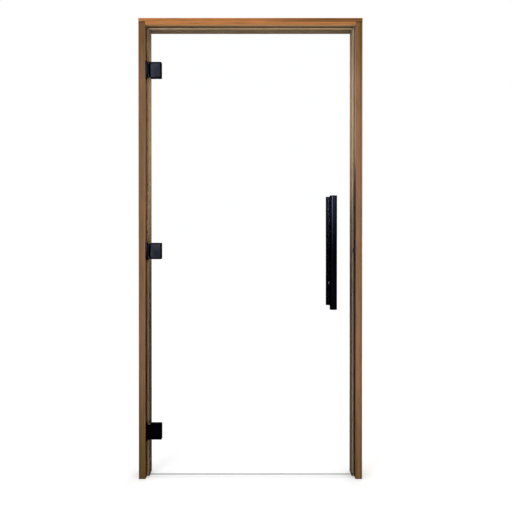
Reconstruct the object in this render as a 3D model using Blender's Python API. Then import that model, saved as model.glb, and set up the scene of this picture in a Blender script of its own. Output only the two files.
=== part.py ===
"""A sauna door: a rebated timber frame, a frameless glass leaf on three hinges,
a pair of tube handles back to back, and a sprung roller catch in the latch jamb.

The origin is the middle of the hinge jamb's foot. +X runs to the latch jamb, +Y from
the front of the frame to its back, +Z up. The leaf swings out over the front, -Y.
Sections are drawn as (across, depth): across from a member's outer face towards the
doorway, depth from the front of the frame towards its back.
"""

import math

import bmesh
import bpy
from mathutils import Matrix, Vector

# Clearances
TOUCH = 0.0003
SLIDE_GAP = 0.0003
PIN_GAP = 0.0001
MARGIN = 0.010

# Steps round the turned pieces, the holes and the rounded corners
TUBE_STEPS = 28
ROLLER_STEPS = 24
PIN_STEPS = 20
SMALL_STEPS = 16
HOLE_STEPS = 12
CORNER_STEPS = 3

# Timber frame
FRAME_WIDTH = 0.990
FRAME_HEIGHT = 2.040
FRAME_DEPTH = 0.092
FACE_WIDTH = 0.030
STOP_WIDTH = 0.012
REBATE_DEPTH = 0.030
HEAD_LAP = 0.015
ARRIS = 0.0015

# Bulb seal, pressed into a groove in the face of the stop
SEAL_FROM_WALL = 0.001
SEAL_WIDTH = 0.0065
SEAL_HEIGHT = 0.0024
SEAL_STEM_WIDTH = 0.0024
SEAL_STEM_LENGTH = 0.0050
SEAL_STEPS = 8
SEAL_FLOOR_GAP = 0.002

# Glass leaf
GLASS_THICKNESS = 0.008
GLASS_SIDE_GAP = 0.005
GLASS_TOP_GAP = 0.005
GLASS_FLOOR_GAP = 0.012

# Hinges
HINGE_FROM_TOP = 0.191
HINGE_FROM_BOTTOM = 0.194
HINGE_COUNT = 3
PIN_FROM_WALL = 0.0145
PIN_BEFORE_GLASS = 0.011
PIN_RADIUS = 0.003
PIN_HEAD = 0.0015
EYE_RADIUS = 0.005
PLATE_WIDTH = 0.0505
PLATE_HEIGHT = 0.073
PLATE_THICKNESS = 0.006
PLATE_FROM_EYE = 0.0001
WEB_FROM_EYE = 0.001
WEB_REACH = 0.004
WEB_THICKNESS = 0.002
PLATE_CORNER = 0.004
PLATE_EDGE = 0.003
PAD_THICKNESS = 0.0010
PAD_INSET = 0.0015
LUG_HEIGHT = 0.014
BOSS_RADIUS = 0.006
BOSS_SPACING = 0.040
BOSS_HOLE_GAP = 0.0015
WALL_LEAF_HEIGHT = 0.078
WALL_LEAF_THICKNESS = 0.003
WALL_LEAF_FRONT = 0.003
WALL_BLOCK_THICKNESS = 0.008
WALL_BLOCK_DEPTH = 0.012
WALL_LEAF_CORNER = 0.002

# Handles
HANDLE_LENGTH = 0.495
HANDLE_MIDDLE = 1.007
HANDLE_RADIUS = 0.016
HANDLE_WALL = 0.002
HANDLE_OFFSET = 0.070
HANDLE_FROM_EDGE = 0.100
CAP_THICKNESS = 0.002
CAP_PLUG = 0.008
CAP_EDGE = 0.0006
STANDOFF_SPACING = 0.280
STANDOFF_RADIUS = 0.008
STUD_RADIUS = 0.004
STUD_GRIP = 0.025
STUD_HOLE_RADIUS = 0.006
WASHER_RADIUS = 0.011
WASHER_THICKNESS = 0.0010

# Roller catch
CATCH_MIDDLE = 1.012
ROLLER_RADIUS = 0.0065
ROLLER_HEIGHT = 0.021
ROLLER_REACH = 0.011
ROLLER_PLAY = 0.0005
ROLLER_EDGE = 0.0008
ROLLER_PIN_RADIUS = 0.0015
CARRIER_TRAVEL = 0.0065
CARRIER_BLOCK = 0.0065
CHEEK_THICKNESS = 0.003
CHEEK_HALF_WIDTH = 0.004
HOUSING_WALL = 0.0015
SPRING_SPACE = 0.003
CATCH_PLATE_HEIGHT = 0.100
CATCH_PLATE_WIDTH = 0.022
CATCH_PLATE_THICKNESS = 0.003
CATCH_PLATE_CORNER = 0.003

# Places worked out from the sizes above
SECTION_WIDTH = FACE_WIDTH + STOP_WIDTH
HINGE_OUTER = -SECTION_WIDTH / 2
LATCH_OUTER = HINGE_OUTER + FRAME_WIDTH
FRONT = -FRAME_DEPTH / 2
HINGE_WALL = HINGE_OUTER + FACE_WIDTH
LATCH_WALL = LATCH_OUTER - FACE_WIDTH
HEAD_WALL = FRAME_HEIGHT - FACE_WIDTH
STOP_FACE = FRONT + REBATE_DEPTH
GLASS_BACK = STOP_FACE - TOUCH - SEAL_HEIGHT - TOUCH
GLASS_FRONT = GLASS_BACK - GLASS_THICKNESS
GLASS_MIDDLE = (GLASS_BACK + GLASS_FRONT) / 2
GLASS_LEFT = HINGE_WALL + GLASS_SIDE_GAP
GLASS_RIGHT = LATCH_WALL - GLASS_SIDE_GAP
GLASS_TOP = HEAD_WALL - GLASS_TOP_GAP
PIN_X = HINGE_WALL + PIN_FROM_WALL
PIN_Y = GLASS_FRONT - PIN_BEFORE_GLASS
PLATE_LEFT = EYE_RADIUS + PLATE_FROM_EYE
PLATE_BACK = PIN_BEFORE_GLASS - TOUCH - PAD_THICKNESS - TOUCH
PLATE_FRONT = PLATE_BACK - PLATE_THICKNESS
HANDLE_X = GLASS_RIGHT - HANDLE_FROM_EDGE
ROLLER_X = LATCH_WALL - ROLLER_REACH + ROLLER_RADIUS
ROLLER_Y = GLASS_FRONT - ROLLER_PLAY - ROLLER_RADIUS


def finish(name, colour, roughness, metallic=0.0, transmission=0.0):
    made = bpy.data.materials.new(name)
    made.use_nodes = True
    made.diffuse_color = (*colour, 1.0)
    shader = made.node_tree.nodes["Principled BSDF"]
    shader.inputs["Base Color"].default_value = (*colour, 1.0)
    shader.inputs["Roughness"].default_value = roughness
    shader.inputs["Metallic"].default_value = metallic
    shader.inputs["Transmission Weight"].default_value = transmission
    return made


def world_place(thing):
    place = Vector()
    while thing:
        place += thing.location
        thing = thing.parent
    return place


def add_piece(name, shape, look, place=(0, 0, 0), parent=None):
    """Makes an object of the shape, with its origin at a place of the door."""
    bmesh.ops.recalc_face_normals(shape, faces=shape.faces)
    mesh = bpy.data.meshes.new(name)
    shape.to_mesh(mesh)
    shape.free()
    mesh.shade_smooth()
    mesh.set_sharp_from_angle(angle=math.radians(30))
    piece = bpy.data.objects.new(name, mesh)
    bpy.context.scene.collection.objects.link(piece)
    piece.parent = parent
    piece.location = Vector(place) - world_place(parent)
    if look:
        mesh.materials.append(look)
    return piece


def add_axis(name, place, parent=None):
    """An empty on a joint's axis, which carries what moves about it."""
    axis = bpy.data.objects.new(name, None)
    axis.empty_display_size = 0.05
    bpy.context.scene.collection.objects.link(axis)
    axis.parent = parent
    axis.location = Vector(place) - world_place(parent)
    return axis


def combine(piece, name, shape, operation):
    """Joins a shape to a piece or cuts it away, in the piece's own coordinates."""
    helper = add_piece(name, shape, None, world_place(piece))
    helper.hide_render = True
    helper.display_type = "WIRE"
    change = piece.modifiers.new(name, "BOOLEAN")
    change.operation = operation
    change.solver = "EXACT"
    change.object = helper


def cut(piece, name, shape):
    combine(piece, name, shape, "DIFFERENCE")


def join(piece, name, shape):
    combine(piece, name, shape, "UNION")


def turn_to(axis):
    """The turn that takes +Z to the axis, with an outline's second way kept up where it can be."""
    turns = {
        "Z": Matrix.Identity(4),
        "X": Matrix(((0, 0, 1, 0), (1, 0, 0, 0), (0, 1, 0, 0), (0, 0, 0, 1))),
        "Y": Matrix(((1, 0, 0, 0), (0, 0, 1, 0), (0, 1, 0, 0), (0, 0, 0, 1))),
    }
    return turns[axis]


def prism(outline, low, high, axis="Z"):
    """An outline pulled along an axis: drawn in (x, y) for Z, (x, z) for Y and (y, z) for X."""
    shape = bmesh.new()
    corners = [shape.verts.new((u, v, low)) for u, v in outline]
    face = shape.faces.new(corners)
    pulled = bmesh.ops.extrude_face_region(shape, geom=[face])
    moved = [part for part in pulled["geom"] if isinstance(part, bmesh.types.BMVert)]
    bmesh.ops.translate(shape, verts=moved, vec=(0, 0, high - low))
    bmesh.ops.transform(shape, matrix=turn_to(axis), verts=shape.verts)
    return shape


def turned(profile, steps, axis="Z"):
    """A closed profile of (radius, height) turned once round an axis."""
    shape = bmesh.new()
    corners = [shape.verts.new((radius, 0, height)) for radius, height in profile]
    for first, second in zip(corners, corners[1:] + corners[:1]):
        if first.co.x or second.co.x:
            shape.edges.new((first, second))
    bmesh.ops.spin(
        shape,
        geom=shape.verts[:] + shape.edges[:],
        axis=(0, 0, 1),
        cent=(0, 0, 0),
        angle=math.tau,
        steps=steps,
        use_merge=True,
    )
    bmesh.ops.remove_doubles(shape, verts=shape.verts, dist=1e-6)
    bmesh.ops.transform(shape, matrix=turn_to(axis), verts=shape.verts)
    return shape


def rod(radius, low, high, steps, axis="Z"):
    return turned([(0, low), (radius, low), (radius, high), (0, high)], steps, axis)


def moved(shape, offset):
    bmesh.ops.translate(shape, verts=shape.verts, vec=offset)
    return shape


def rectangle(left, right, bottom, top):
    return [(left, bottom), (right, bottom), (right, top), (left, top)]


def rounded(outline, radius, steps):
    """The outline with each corner swapped for an arc, or for a chamfer at one step."""
    points = []
    for index, corner in enumerate(outline):
        here = Vector(corner)
        to_last = (Vector(outline[index - 1]) - here).normalized()
        to_next = (Vector(outline[(index + 1) % len(outline)]) - here).normalized()
        half = to_last.angle(to_next) / 2
        centre = here + (to_last + to_next).normalized() * radius / math.sin(half)
        start = here + to_last * radius / math.tan(half) - centre
        end = here + to_next * radius / math.tan(half) - centre
        sweep = start.angle_signed(end)
        for step in range(steps + 1):
            spoke = start.copy()
            spoke.rotate(Matrix.Rotation(-sweep * step / steps, 2))
            points.append(tuple(centre + spoke))
    return points


def member_section():
    """The rebated section that all three members of the frame are run to."""
    return rounded(rectangle(0, SECTION_WIDTH, 0, FRAME_DEPTH), ARRIS, 1)


def rebate_outline():
    """What the rebate and the seal's groove take out of the section, open to the doorway."""
    middle = FACE_WIDTH + SEAL_FROM_WALL + SEAL_WIDTH / 2
    half = SEAL_STEM_WIDTH / 2 + TOUCH
    groove_depth = REBATE_DEPTH + TOUCH + SEAL_STEM_LENGTH + TOUCH
    return [
        (FACE_WIDTH, -MARGIN),
        (SECTION_WIDTH + MARGIN, -MARGIN),
        (SECTION_WIDTH + MARGIN, REBATE_DEPTH),
        (middle + half, REBATE_DEPTH),
        (middle + half, groove_depth),
        (middle - half, groove_depth),
        (middle - half, REBATE_DEPTH),
        (FACE_WIDTH, REBATE_DEPTH),
    ]


def hinge_side(outline):
    return [(HINGE_OUTER + across, FRONT + depth) for across, depth in outline]


def latch_side(outline):
    return [(LATCH_OUTER - across, FRONT + depth) for across, depth in outline]


def head_side(outline):
    return [(FRONT + depth, FRAME_HEIGHT - across) for across, depth in outline]


def make_frame(wood):
    jamb_top = FRAME_HEIGHT - HEAD_LAP - TOUCH
    sides = {"hinge_jamb": hinge_side, "latch_jamb": latch_side}
    for name, side in sides.items():
        jamb = add_piece(name, prism(side(member_section()), 0, jamb_top), wood)
        rebate = prism(side(rebate_outline()), -MARGIN, jamb_top + MARGIN)
        cut(jamb, name + "_rebate", rebate)
    head = add_piece(
        "head", prism(head_side(member_section()), HINGE_OUTER, LATCH_OUTER, "X"), wood
    )
    rebate = prism(
        head_side(rebate_outline()), HINGE_OUTER - MARGIN, LATCH_OUTER + MARGIN, "X"
    )
    cut(head, "head_rebate", rebate)
    lap = [
        (-MARGIN, -MARGIN),
        (FACE_WIDTH + TOUCH, -MARGIN),
        (FACE_WIDTH + TOUCH, REBATE_DEPTH - TOUCH),
        (SECTION_WIDTH + TOUCH, REBATE_DEPTH - TOUCH),
        (SECTION_WIDTH + TOUCH, FRAME_DEPTH + MARGIN),
        (-MARGIN, FRAME_DEPTH + MARGIN),
    ]
    lap_bottom = FRAME_HEIGHT - SECTION_WIDTH - MARGIN
    for name, side in sides.items():
        cut(
            head,
            "head_lap_on_" + name,
            prism(side(lap), lap_bottom, FRAME_HEIGHT - HEAD_LAP),
        )


def seal_section():
    """The bulb in front of the stop and the stem in its groove."""
    middle = FACE_WIDTH + SEAL_FROM_WALL + SEAL_WIDTH / 2
    base = REBATE_DEPTH - TOUCH
    outline = []
    for step in range(SEAL_STEPS + 1):
        turn = math.pi * step / SEAL_STEPS
        across = middle + SEAL_WIDTH / 2 * math.cos(turn)
        outline.append((across, base - SEAL_HEIGHT * math.sin(turn)))
    half = SEAL_STEM_WIDTH / 2
    tip = REBATE_DEPTH + SEAL_STEM_LENGTH
    stem = [(-half, base), (-half, tip), (half, tip), (half, base)]
    return outline + [(middle + offset, depth) for offset, depth in stem]


def make_seals(rubber):
    top = HEAD_WALL - TOUCH
    for name, side in {
        "hinge_side_seal": hinge_side,
        "latch_side_seal": latch_side,
    }.items():
        add_piece(name, prism(side(seal_section()), SEAL_FLOOR_GAP, top), rubber)
    # The leaf's back corner swings behind its rest place until it has passed the pin by
    # as much as it began short of it, so the head's seal starts beyond that point.
    low = PIN_X + (PIN_X - GLASS_LEFT) + TOUCH
    high = LATCH_WALL - SEAL_FROM_WALL - SEAL_WIDTH - TOUCH
    head_seal = add_piece(
        "head_seal", prism(head_side(seal_section()), low, high, "X"), rubber
    )
    stem_start = STOP_FACE - TOUCH
    stem_end = LATCH_WALL - STOP_WIDTH - TOUCH - TOUCH
    trim = rectangle(stem_end, high + MARGIN, stem_start, stem_start + MARGIN)
    cut(head_seal, "head_seal_stem_end", prism(trim, HEAD_WALL - MARGIN, HEAD_WALL))


def hinge_heights():
    """The hinges' middles: one near each end of the glass, and the rest evenly between."""
    first = GLASS_FLOOR_GAP + HINGE_FROM_BOTTOM
    last = GLASS_TOP - HINGE_FROM_TOP
    step = (last - first) / (HINGE_COUNT - 1)
    return [first + step * index for index in range(HINGE_COUNT)]


def boss_places():
    """Where each hinge's two clamping bosses pass through the glass, from its pin."""
    middle = PLATE_LEFT + PLATE_WIDTH / 2
    return [(middle, side * BOSS_SPACING / 2) for side in (-1, 1)]


def make_glass(glass, axis):
    leaf = add_piece(
        "glass",
        prism(
            rectangle(GLASS_LEFT - PIN_X, GLASS_RIGHT - PIN_X, 0, GLASS_THICKNESS),
            GLASS_FLOOR_GAP,
            GLASS_TOP,
        ),
        glass,
        (PIN_X, GLASS_FRONT, 0),
        axis,
    )
    low = -MARGIN
    high = GLASS_THICKNESS + MARGIN
    for number, height in enumerate(hinge_heights(), 1):
        for end, (across, up) in zip(("low", "high"), boss_places()):
            hole = rod(BOSS_RADIUS + BOSS_HOLE_GAP, low, high, HOLE_STEPS, "Y")
            name = f"glass_hole_{number}_{end}"
            cut(leaf, name, moved(hole, (across, 0, height + up)))
    for end, height in standoff_heights():
        hole = rod(STUD_HOLE_RADIUS, low, high, HOLE_STEPS, "Y")
        cut(leaf, "glass_hole_" + end, moved(hole, (HANDLE_X - PIN_X, 0, height)))


def plate_outline(inset=0.0):
    return rounded(
        rectangle(
            PLATE_LEFT + inset,
            PLATE_LEFT + PLATE_WIDTH - inset,
            -PLATE_HEIGHT / 2 + inset,
            PLATE_HEIGHT / 2 - inset,
        ),
        PLATE_CORNER - inset,
        CORNER_STEPS,
    )


def bevelled_plate(outer_face, glass_face):
    """A clamp plate with its outer edges bevelled, pulled along Y between two faces."""
    way = math.copysign(1, glass_face - outer_face)
    shape = bmesh.new()
    loops = []
    for inset, depth in (
        (PLATE_EDGE, outer_face),
        (0.0, outer_face + way * PLATE_EDGE),
        (0.0, glass_face),
    ):
        loops.append([shape.verts.new((u, depth, v)) for u, v in plate_outline(inset)])
    shape.faces.new(loops[0])
    shape.faces.new(loops[-1])
    for first, second in zip(loops, loops[1:]):
        for index, corner in enumerate(first):
            shape.faces.new(
                (first[index - 1], corner, second[index], second[index - 1])
            )
    return shape


def eye_outline(reach):
    """A round eye on the pin, with sides that run to the points of its reach."""
    circle = []
    for step in range(PIN_STEPS):
        turn = math.tau * step / PIN_STEPS
        circle.append((EYE_RADIUS * math.cos(turn), EYE_RADIUS * math.sin(turn)))
    shape = bmesh.new()
    for point in circle + reach:
        shape.verts.new((*point, 0))
    hull = bmesh.ops.convex_hull(shape, input=shape.verts)
    keep = {part for part in hull["geom"] if isinstance(part, bmesh.types.BMVert)}
    spots = [part.co.xy for part in keep]
    middle = sum(spots, Vector((0, 0))) / len(spots)
    spots.sort(key=lambda spot: math.atan2(spot.y - middle.y, spot.x - middle.x))
    outline = [tuple(spot) for spot in spots]
    shape.free()
    return outline


def make_wall_leaf(number, height, metal):
    """The fixed half: a plate screwed to the rebate wall, with the middle knuckle on a block."""
    wall = -PIN_FROM_WALL + TOUCH
    front = FRONT + WALL_LEAF_FRONT - PIN_Y
    back = STOP_FACE - TOUCH - SEAL_HEIGHT - TOUCH - PIN_Y
    face = -PIN_FROM_WALL + WALL_BLOCK_THICKNESS
    thin_face = -PIN_FROM_WALL + WALL_LEAF_THICKNESS
    half = WALL_LEAF_HEIGHT / 2
    plate, block = [
        rounded(rectangle(front, end, -half, half), WALL_LEAF_CORNER, CORNER_STEPS)
        for end in (back, front + WALL_BLOCK_DEPTH)
    ]
    leaf = add_piece(
        f"hinge_{number}_wall_leaf",
        prism(plate, wall, thin_face, "X"),
        metal,
        (PIN_X, PIN_Y, height),
    )
    join(leaf, f"hinge_{number}_wall_block", prism(block, wall, face, "X"))
    knuckle_half = PLATE_HEIGHT / 2 - LUG_HEIGHT - SLIDE_GAP
    root = face - WALL_LEAF_THICKNESS
    reach = [(root, -EYE_RADIUS), (root, EYE_RADIUS)]
    knuckle = prism(eye_outline(reach), -knuckle_half, knuckle_half)
    join(leaf, f"hinge_{number}_knuckle", knuckle)
    bore = rod(PIN_RADIUS + PIN_GAP, -PLATE_HEIGHT, PLATE_HEIGHT, PIN_STEPS)
    cut(leaf, f"hinge_{number}_knuckle_bore", bore)


def make_outer_plate(number, height, metal, axis):
    """The moving half's outer plate: a lug at each end carries the pin, and a web behind
    the fixed knuckle joins the lugs.
    """
    plate = add_piece(
        f"hinge_{number}_outer_plate",
        bevelled_plate(PLATE_FRONT, PLATE_BACK),
        metal,
        (PIN_X, PIN_Y, height),
        axis,
    )
    root = PLATE_LEFT + PLATE_EDGE + PLATE_THICKNESS / 2
    web_front = EYE_RADIUS + WEB_FROM_EYE
    web_back = web_front + WEB_THICKNESS
    reach = [(root, PLATE_FRONT + PLATE_EDGE), (root, web_back), (-WEB_REACH, web_back)]
    top = PLATE_HEIGHT / 2 - PLATE_EDGE
    for end, low, high in (
        ("top", top - LUG_HEIGHT + PLATE_EDGE, top),
        ("bottom", -top, LUG_HEIGHT - PLATE_EDGE - top),
    ):
        join(
            plate, f"hinge_{number}_{end}_lug", prism(eye_outline(reach), low, high)
        )
    web = rectangle(-WEB_REACH, root, web_front, web_back)
    join(plate, f"hinge_{number}_web", prism(web, PLATE_EDGE - top, top - PLATE_EDGE))
    bore = rod(PIN_RADIUS + PIN_GAP, -PLATE_HEIGHT, PLATE_HEIGHT, PIN_STEPS)
    cut(plate, f"hinge_{number}_lug_bore", bore)


def make_pin(number, height, steel):
    """The pin, with a thin head beyond each lug."""
    half = PLATE_HEIGHT / 2 - PLATE_EDGE + SLIDE_GAP
    tip = half + PIN_HEAD
    head = PIN_RADIUS + PIN_HEAD
    profile = [
        (0, -tip),
        (PIN_RADIUS, -tip),
        (head, -half),
        (PIN_RADIUS, -half),
        (PIN_RADIUS, half),
        (head, half),
        (PIN_RADIUS, tip),
        (0, tip),
    ]
    add_piece(
        f"hinge_{number}_pin", turned(profile, PIN_STEPS), steel, (PIN_X, PIN_Y, height)
    )


def make_inner_plate(number, height, metal, axis):
    """The plate behind the glass, with the bosses that the clamping screws pull on."""
    glass_face = PIN_BEFORE_GLASS + GLASS_THICKNESS + TOUCH + PAD_THICKNESS + TOUCH
    plate = add_piece(
        f"hinge_{number}_inner_plate",
        bevelled_plate(glass_face + PLATE_THICKNESS, glass_face),
        metal,
        (PIN_X, PIN_Y, height),
        axis,
    )
    for end, (across, up) in zip(("low", "high"), boss_places()):
        boss = rod(
            BOSS_RADIUS,
            PLATE_BACK + TOUCH,
            glass_face + PLATE_THICKNESS / 2,
            HOLE_STEPS,
            "Y",
        )
        join(plate, f"hinge_{number}_boss_{end}", moved(boss, (across, 0, up)))


def make_pads(number, height, rubber, axis):
    """The gaskets that keep the plates off the glass."""
    behind = PIN_BEFORE_GLASS + GLASS_THICKNESS + TOUCH
    before = PIN_BEFORE_GLASS - TOUCH - PAD_THICKNESS
    for name, low in (("outer", before), ("inner", behind)):
        pad = add_piece(
            f"hinge_{number}_{name}_pad",
            prism(plate_outline(PAD_INSET), low, low + PAD_THICKNESS, "Y"),
            rubber,
            (PIN_X, PIN_Y, height),
            axis,
        )
        for end, (across, up) in zip(("low", "high"), boss_places()):
            hole = rod(
                BOSS_RADIUS + BOSS_HOLE_GAP, low - MARGIN, low + MARGIN, HOLE_STEPS, "Y"
            )
            cut(
                pad,
                f"hinge_{number}_{name}_pad_hole_{end}",
                moved(hole, (across, 0, up)),
            )


def standoff_heights():
    return [
        ("lower", HANDLE_MIDDLE - STANDOFF_SPACING / 2),
        ("upper", HANDLE_MIDDLE + STANDOFF_SPACING / 2),
    ]


def make_handle(name, side, metal, rubber, axis):
    """A tube with its caps, held off the glass by two standoffs. Side is -1 outside, 1 inside."""
    tube_y = GLASS_MIDDLE + side * HANDLE_OFFSET
    inner = HANDLE_RADIUS - HANDLE_WALL
    half = HANDLE_LENGTH / 2 - CAP_THICKNESS - TOUCH
    ring = [(inner, -half), (HANDLE_RADIUS, -half), (HANDLE_RADIUS, half), (inner, half)]
    place = (HANDLE_X, tube_y, HANDLE_MIDDLE)
    add_piece(f"{name}_handle_tube", turned(ring, TUBE_STEPS), metal, place, axis)
    plug = inner - TOUCH
    edge = HANDLE_RADIUS - CAP_EDGE
    for end, way in (("bottom", -1), ("top", 1)):
        profile = [
            (0, -CAP_PLUG),
            (plug, -CAP_PLUG),
            (plug, 0),
            (HANDLE_RADIUS, 0),
            (HANDLE_RADIUS, CAP_THICKNESS - CAP_EDGE),
            (edge, CAP_THICKNESS),
            (0, CAP_THICKNESS),
        ]
        cap = turned([(radius, way * height) for radius, height in profile], TUBE_STEPS)
        seat_height = HANDLE_MIDDLE + way * (half + TOUCH)
        add_piece(
            f"{name}_handle_{end}_cap",
            cap,
            metal,
            (HANDLE_X, tube_y, seat_height),
            axis,
        )
    washer_face = GLASS_THICKNESS / 2 + TOUCH
    foot = washer_face + WASHER_THICKNESS + TOUCH
    bore = STUD_RADIUS + PIN_GAP
    for end, height in standoff_heights():
        place = (HANDLE_X, GLASS_MIDDLE, height)
        ring = [
            (bore, side * washer_face),
            (WASHER_RADIUS, side * washer_face),
            (WASHER_RADIUS, side * (washer_face + WASHER_THICKNESS)),
            (bore, side * (washer_face + WASHER_THICKNESS)),
        ]
        washer = turned(ring, PIN_STEPS, "Y")
        add_piece(f"{name}_{end}_washer", washer, rubber, place, axis)
        ring = [
            (bore, side * foot),
            (STANDOFF_RADIUS, side * foot),
            (STANDOFF_RADIUS, side * HANDLE_OFFSET),
            (bore, side * HANDLE_OFFSET),
        ]
        standoff = add_piece(
            f"{name}_{end}_standoff", turned(ring, PIN_STEPS, "Y"), metal, place, axis
        )
        cope = rod(HANDLE_RADIUS + TOUCH, -MARGIN * 2, MARGIN * 2, TUBE_STEPS)
        cope = moved(cope, (0, side * HANDLE_OFFSET, 0))
        cut(standoff, f"{name}_{end}_standoff_cope", cope)


def make_studs(steel, axis):
    """The studs that pull each pair of standoffs together through the glass."""
    half = GLASS_THICKNESS / 2 + STUD_GRIP
    for end, height in standoff_heights():
        add_piece(
            f"handle_{end}_stud",
            rod(STUD_RADIUS, -half, half, PIN_STEPS, "Y"),
            steel,
            (HANDLE_X, GLASS_MIDDLE, height),
            axis,
        )


def carrier_half_height():
    return ROLLER_HEIGHT / 2 + SLIDE_GAP + CHEEK_THICKNESS


def cavity_half_width():
    return ROLLER_RADIUS + 2 * SLIDE_GAP


def cavity_half_height():
    return carrier_half_height() + SLIDE_GAP


def make_catch(metal, steel, plastic):
    """The roller catch, drawn from the roller's axis, with +X into the jamb."""
    wall = ROLLER_REACH - ROLLER_RADIUS
    block_front = ROLLER_RADIUS + SLIDE_GAP * 2
    block_back = block_front + CARRIER_BLOCK
    bottom = block_back + CARRIER_TRAVEL + SPRING_SPACE
    housing_back = bottom + HOUSING_WALL
    place = (ROLLER_X, ROLLER_Y, CATCH_MIDDLE)
    wide = cavity_half_width()
    tall = cavity_half_height()

    mortise_wide = wide + HOUSING_WALL + TOUCH
    mortise_tall = tall + HOUSING_WALL + TOUCH
    mortise = prism(
        rectangle(wall - MARGIN, housing_back + TOUCH, -mortise_wide, mortise_wide),
        -mortise_tall,
        mortise_tall,
    )
    cut(
        bpy.data.objects["latch_jamb"],
        "catch_mortise",
        moved(mortise, place),
    )

    outer = prism(
        rectangle(
            wall + TOUCH, housing_back, -wide - HOUSING_WALL, wide + HOUSING_WALL
        ),
        -tall - HOUSING_WALL,
        tall + HOUSING_WALL,
    )
    housing = add_piece("catch_housing", outer, plastic, place)
    cavity = prism(rectangle(wall - MARGIN, bottom, -wide, wide), -tall, tall)
    cut(housing, "catch_cavity", cavity)

    half_wide = CATCH_PLATE_WIDTH / 2
    half_tall = CATCH_PLATE_HEIGHT / 2
    outline = rounded(
        rectangle(-half_wide, half_wide, -half_tall, half_tall),
        CATCH_PLATE_CORNER,
        CORNER_STEPS,
    )
    plate = add_piece(
        "catch_plate",
        prism(outline, wall - TOUCH - CATCH_PLATE_THICKNESS, wall - TOUCH, "X"),
        metal,
        place,
    )
    cut(
        plate,
        "catch_window",
        prism(rectangle(-wide, wide, -tall, tall), wall - MARGIN, wall + MARGIN, "X"),
    )

    slide = add_axis("catch_slide", place)
    nose = ROLLER_PIN_RADIUS + CHEEK_THICKNESS / 2
    block_wide = wide - SLIDE_GAP
    half_height = carrier_half_height()
    outline = [
        (block_back, -block_wide),
        (block_back, block_wide),
        (block_front, block_wide),
        (block_front, CHEEK_HALF_WIDTH),
        (0, CHEEK_HALF_WIDTH),
        (-nose, CHEEK_HALF_WIDTH / 2),
        (-nose, -CHEEK_HALF_WIDTH / 2),
        (0, -CHEEK_HALF_WIDTH),
        (block_front, -CHEEK_HALF_WIDTH),
        (block_front, -block_wide),
    ]
    carrier = add_piece(
        "catch_carrier", prism(outline, -half_height, half_height), plastic, place, slide
    )
    pocket_half = ROLLER_HEIGHT / 2 + SLIDE_GAP
    pocket = rectangle(-MARGIN, block_front, -MARGIN, MARGIN)
    cut(carrier, "carrier_pocket", prism(pocket, -pocket_half, pocket_half))
    bore = rod(ROLLER_PIN_RADIUS + PIN_GAP, -half_height * 2, half_height * 2, SMALL_STEPS)
    cut(carrier, "carrier_bore", bore)
    add_piece(
        "catch_roller_pin",
        rod(ROLLER_PIN_RADIUS, -half_height, half_height, SMALL_STEPS),
        steel,
        place,
        slide,
    )

    spin = add_axis("catch_roller_spin", place, slide)
    inner = ROLLER_PIN_RADIUS + PIN_GAP
    half = ROLLER_HEIGHT / 2
    edge = ROLLER_EDGE
    profile = [
        (inner, -half),
        (ROLLER_RADIUS - edge, -half),
        (ROLLER_RADIUS, -half + edge),
        (ROLLER_RADIUS, half - edge),
        (ROLLER_RADIUS - edge, half),
        (inner, half),
    ]
    add_piece("catch_roller", turned(profile, ROLLER_STEPS), plastic, place, spin)


def main():
    for thing in list(bpy.data.objects):
        bpy.data.objects.remove(thing)

    wood = finish("thermo_wood", (0.22, 0.13, 0.07), 0.55)
    glass = finish("clear_glass", (0.92, 0.96, 0.95), 0.02, transmission=1.0)
    metal = finish("black_metal", (0.02, 0.02, 0.023), 0.38, metallic=0.6)
    steel = finish("dark_steel", (0.12, 0.12, 0.125), 0.30, metallic=1.0)
    rubber = finish("grey_seal", (0.30, 0.28, 0.26), 0.60)
    black_rubber = finish("black_rubber", (0.03, 0.03, 0.03), 0.70)
    plastic = finish("black_plastic", (0.03, 0.03, 0.035), 0.45)

    make_frame(wood)
    make_seals(rubber)
    leaf_axis = add_axis("leaf_hinge_line", (PIN_X, PIN_Y, 0))
    make_glass(glass, leaf_axis)
    for number, height in enumerate(hinge_heights(), 1):
        make_wall_leaf(number, height, metal)
        make_pin(number, height, steel)
        make_outer_plate(number, height, metal, leaf_axis)
        make_inner_plate(number, height, metal, leaf_axis)
        make_pads(number, height, black_rubber, leaf_axis)
    make_handle("outer", -1, metal, black_rubber, leaf_axis)
    make_handle("inner", 1, metal, black_rubber, leaf_axis)
    make_studs(steel, leaf_axis)
    make_catch(metal, steel, plastic)


main()
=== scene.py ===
"""The looks of the sauna door: camera, light, the finish of every solid, and its screws.

All places are in metres in the door's own frame: +X runs from the hinge jamb to the
latch jamb, +Y from the front of the door to its back, +Z up. Colours from 0 to 255 are as
they show on screen, and the others are linear. A tint multiplies a colour's red, green
and blue, and a tone multiplies all three alike.
"""

import math

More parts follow.
